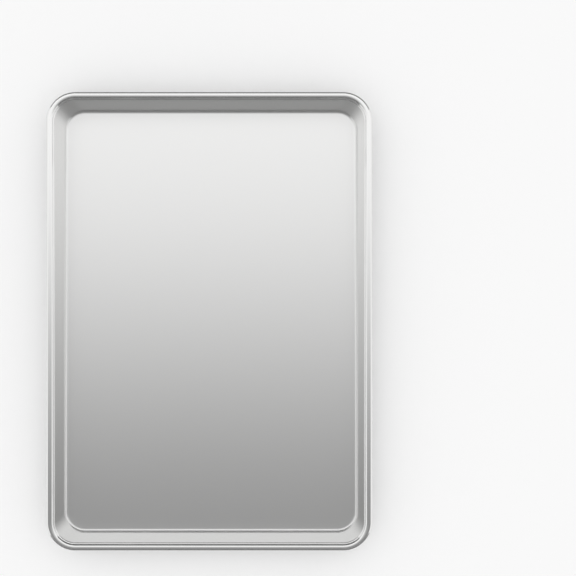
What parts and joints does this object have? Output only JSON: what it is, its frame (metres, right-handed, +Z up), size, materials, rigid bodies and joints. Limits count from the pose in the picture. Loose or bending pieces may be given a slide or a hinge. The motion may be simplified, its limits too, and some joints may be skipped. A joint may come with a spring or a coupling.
{
  "type": "jelly roll pan",
  "caption": "Shallow rectangular baking pan with a flat floor, leaning walls, round corners and a rim rolled round a stiffening wire, for baking thin sheet cakes.",
  "frame": {"origin": "middle of the underside of the floor, on the surface the pan stands on", "axes": "+Z up out of the open top, +Y along the pan's length, +X across its width"},
  "size_m": [0.287, 0.404, 0.026],
  "materials": {
    "aluminium_sheet": "satin with fine rolling lines, brighter on the rim",
    "steel_wire": "plain drawn wire, zinc grey"
  },
  "bodies": {
    "root": {"pan_sheet": "aluminium_sheet", "bead_wire": "steel_wire"}
  },
  "joints": []
}
